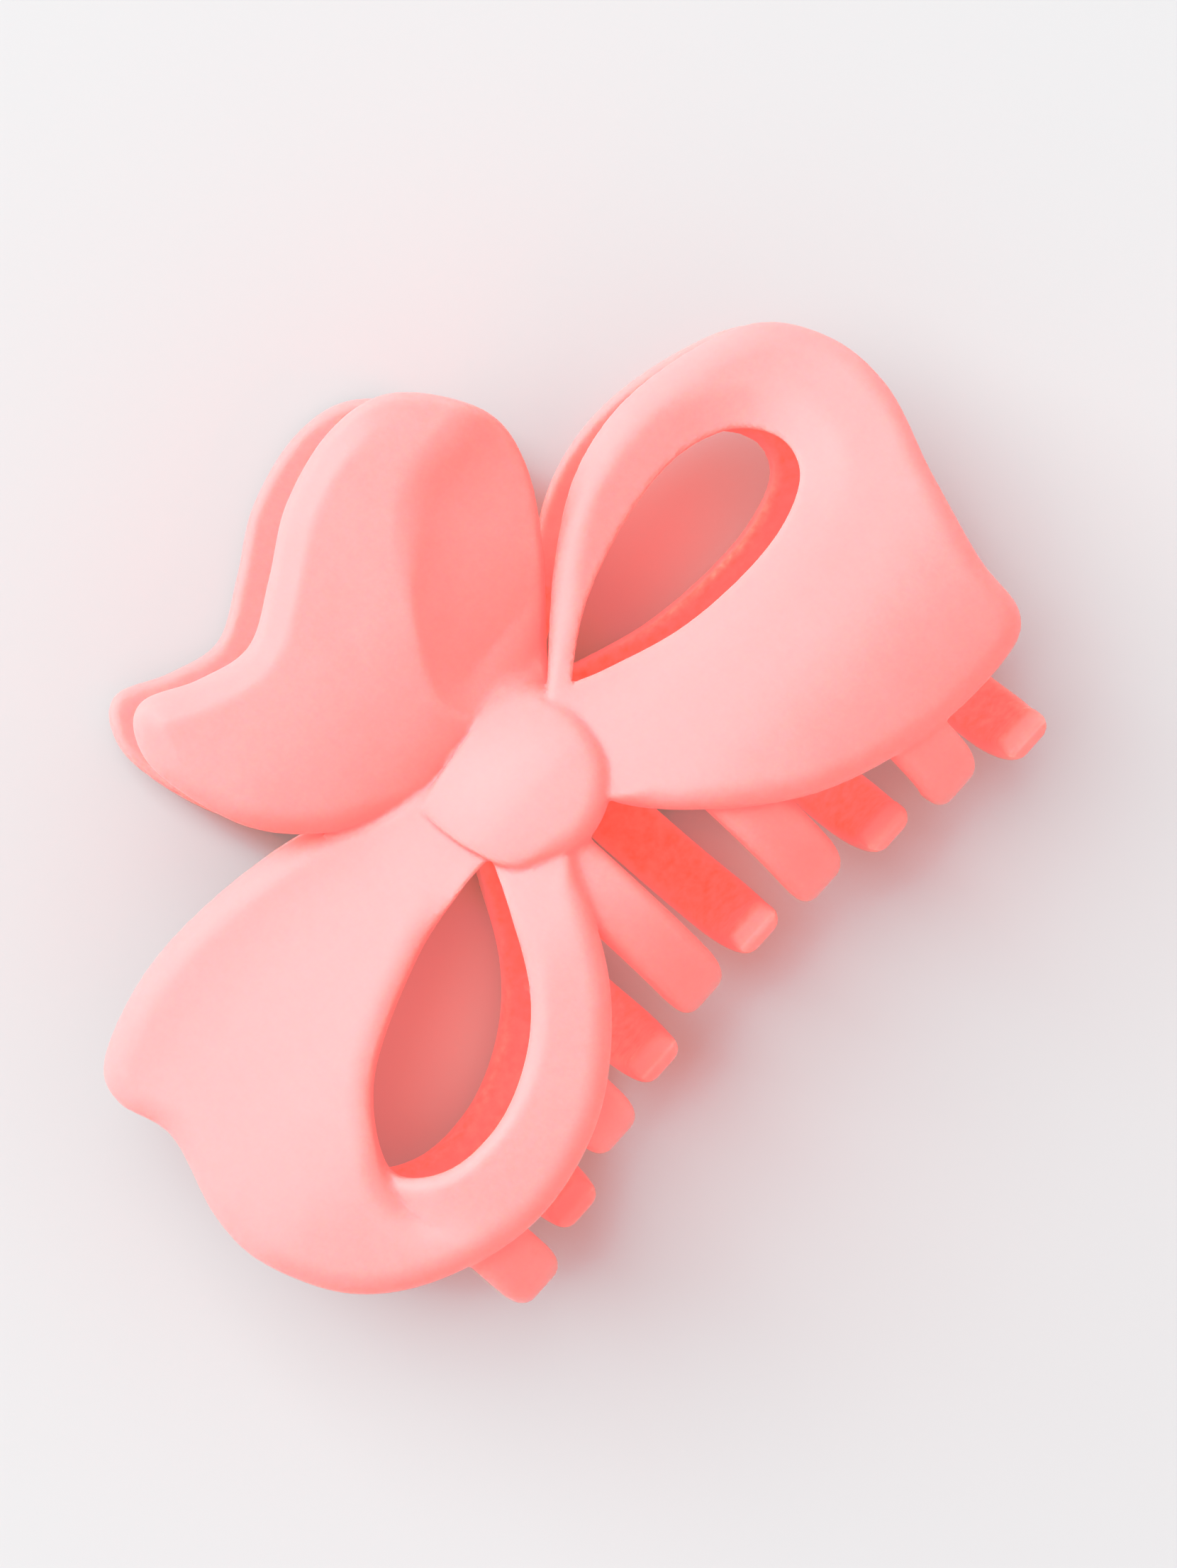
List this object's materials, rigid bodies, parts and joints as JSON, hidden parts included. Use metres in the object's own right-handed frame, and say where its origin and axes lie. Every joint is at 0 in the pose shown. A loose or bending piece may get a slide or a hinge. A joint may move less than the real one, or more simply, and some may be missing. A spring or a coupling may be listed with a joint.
{
  "type": "claw hair clip",
  "caption": "Bow-shaped claw hair clip: two mirrored looped jaws with interleaved curved teeth, hinged on a sprung pin behind a round knot.",
  "frame": {"origin": "middle of the clip's outline, on the surface that it lies on", "axes": "+X along the row of teeth, +Y from the teeth towards the handle lobes, +Z from the back jaw to the front jaw"},
  "size_m": [0.0958, 0.0671, 0.037],
  "materials": {
    "plastic": "soft-touch matte",
    "pin_steel": "drawn",
    "spring_steel": "drawn wire"
  },
  "bodies": {
    "back": {"back_jaw": "plastic", "hinge_pin": "pin_steel", "torsion_spring": "spring_steel"},
    "front": {"front_jaw": "plastic"}
  },
  "joints": [
    {"name": "jaw_hinge", "type": "hinge", "parent": "back", "child": "front", "pos_m": [-0.00046, 0.00056, 0.0185], "axis": [-1, 0, 0], "range_deg": [0, 36], "stiffness_Nm_per_rad": 0.02, "springref_deg": -34.38, "deforming": ["torsion_spring"]}
  ]
}
